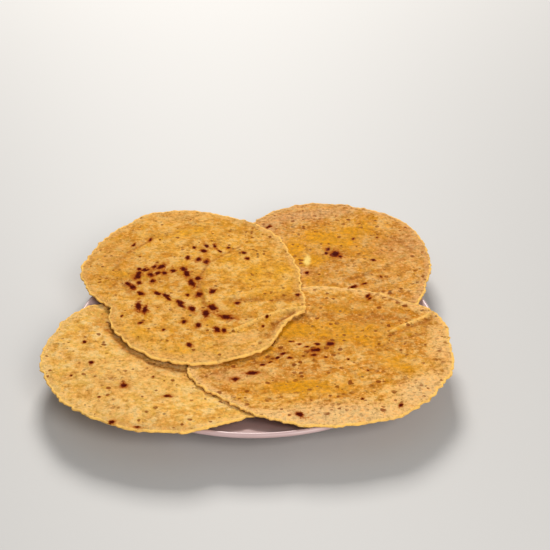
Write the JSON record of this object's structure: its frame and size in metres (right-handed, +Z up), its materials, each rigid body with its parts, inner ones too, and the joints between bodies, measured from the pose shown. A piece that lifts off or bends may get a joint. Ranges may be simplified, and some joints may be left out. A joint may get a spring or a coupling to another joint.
{
  "type": "corn tortilla stack on a plate",
  "caption": "Toasted corn tortillas heaped loosely on a round pale glazed plate, with golden, oily and charred patches.",
  "frame": {"origin": "middle of the heap's footprint, on the table under the plate's foot ring", "axes": "+Z up from the table; +Y towards the back of the heap; +X to the right as seen from the front"},
  "size_m": [0.2736, 0.3012, 0.0277],
  "materials": {
    "plate_glaze": "gloss",
    "tortilla_back": "oily, toasted",
    "tortilla_left": "dry, floury",
    "tortilla_right": "oily, toasted",
    "tortilla_top": "dry, charred in spots"
  },
  "bodies": {
    "root": {"plate": "plate_glaze", "tortilla_back": "tortilla_back", "tortilla_left": "tortilla_left", "tortilla_right": "tortilla_right", "tortilla_top": "tortilla_top"}
  },
  "joints": []
}
